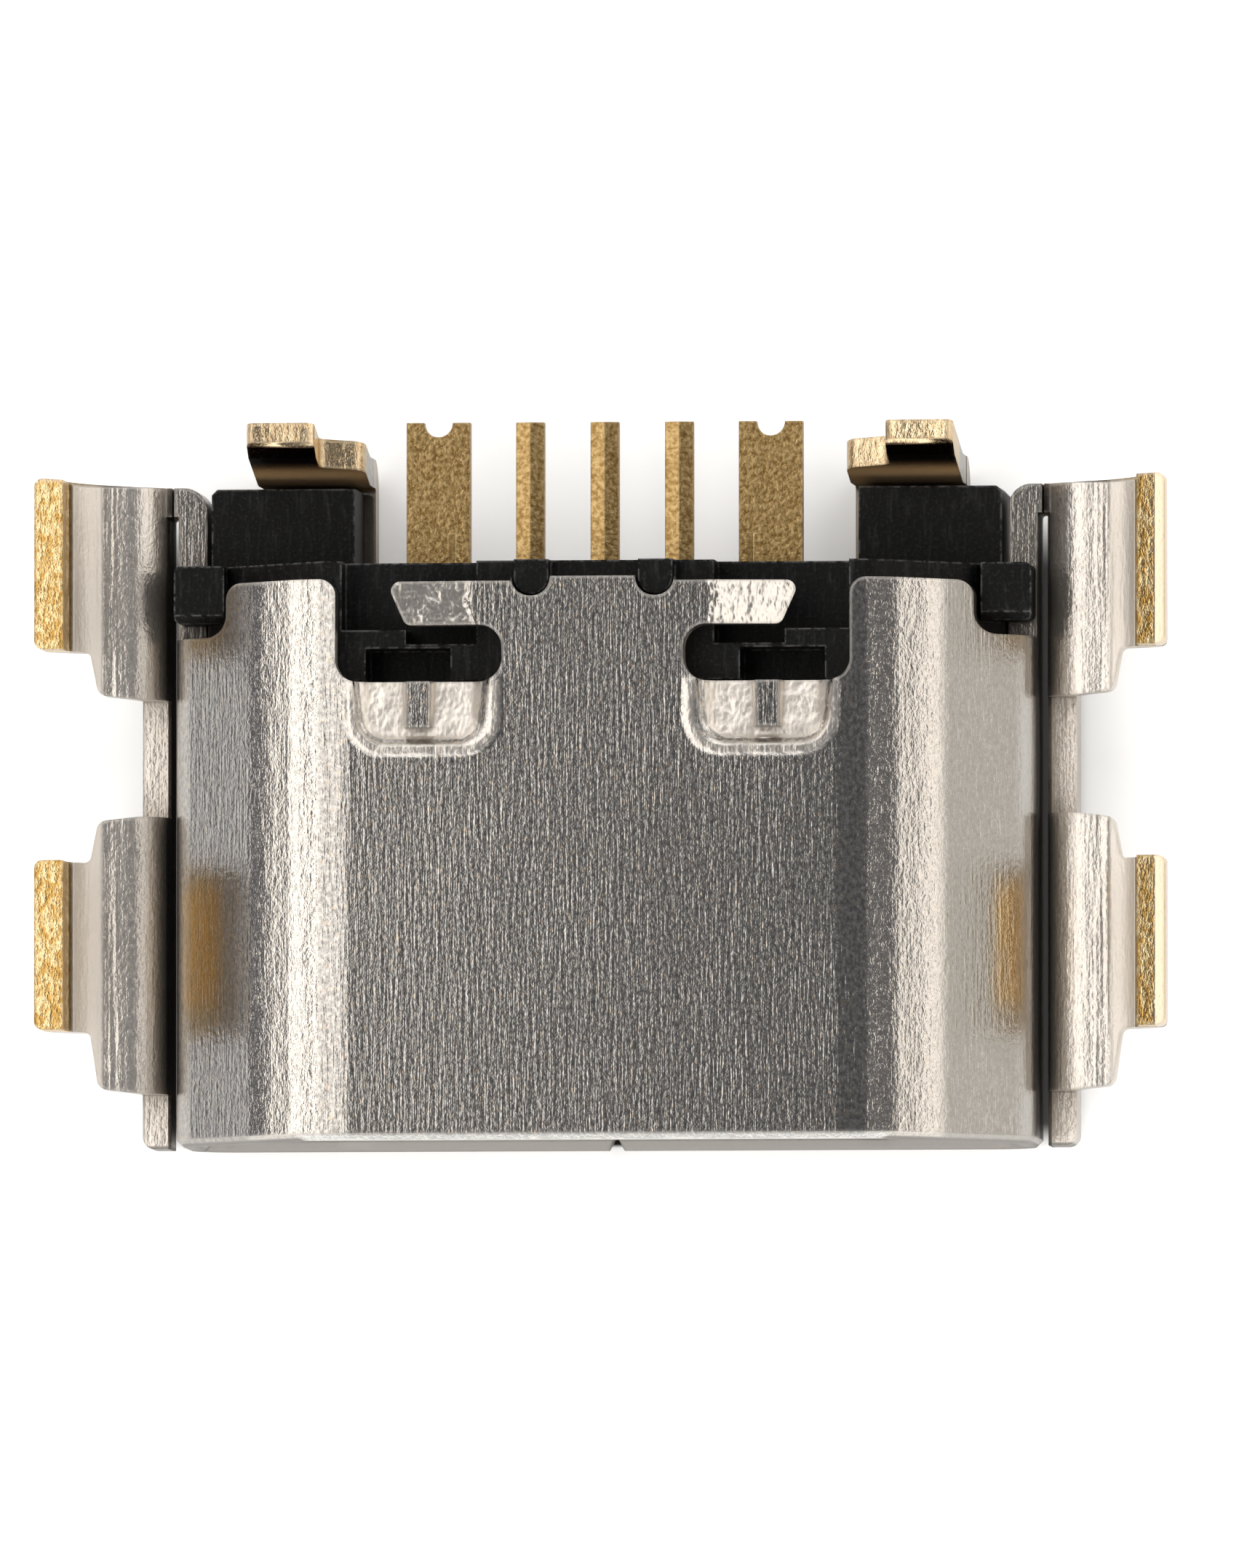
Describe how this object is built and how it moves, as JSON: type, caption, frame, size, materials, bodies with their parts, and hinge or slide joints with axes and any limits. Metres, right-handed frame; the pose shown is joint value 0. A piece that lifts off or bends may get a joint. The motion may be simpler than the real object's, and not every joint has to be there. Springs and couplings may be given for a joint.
{
  "type": "micro usb socket",
  "caption": "Through-hole micro USB receptacle: folded metal shell with side and rear board legs, black insulator with a contact tongue, and gold plated contact strips with straight tails.",
  "frame": {"origin": "on the underside of the shell's wide plate, in the middle plane, half way between the mouth and the shell's rear edge", "axes": "+X across the mouth, +Y away from the mouth towards the tails, +Z from the wide plate to the narrow plate"},
  "size_m": [0.0098, 0.0062, 0.0024],
  "materials": {
    "nickel_plate": "satin nickel plate on rolled strip",
    "black_plastic": "matte moulded",
    "gold_plate": "grainy gold plate"
  },
  "bodies": {
    "root": {"shell": "nickel_plate", "housing": "black_plastic", "contact_1": "gold_plate", "contact_2": "gold_plate", "contact_3": "gold_plate", "contact_4": "gold_plate", "contact_5": "gold_plate"}
  },
  "joints": []
}
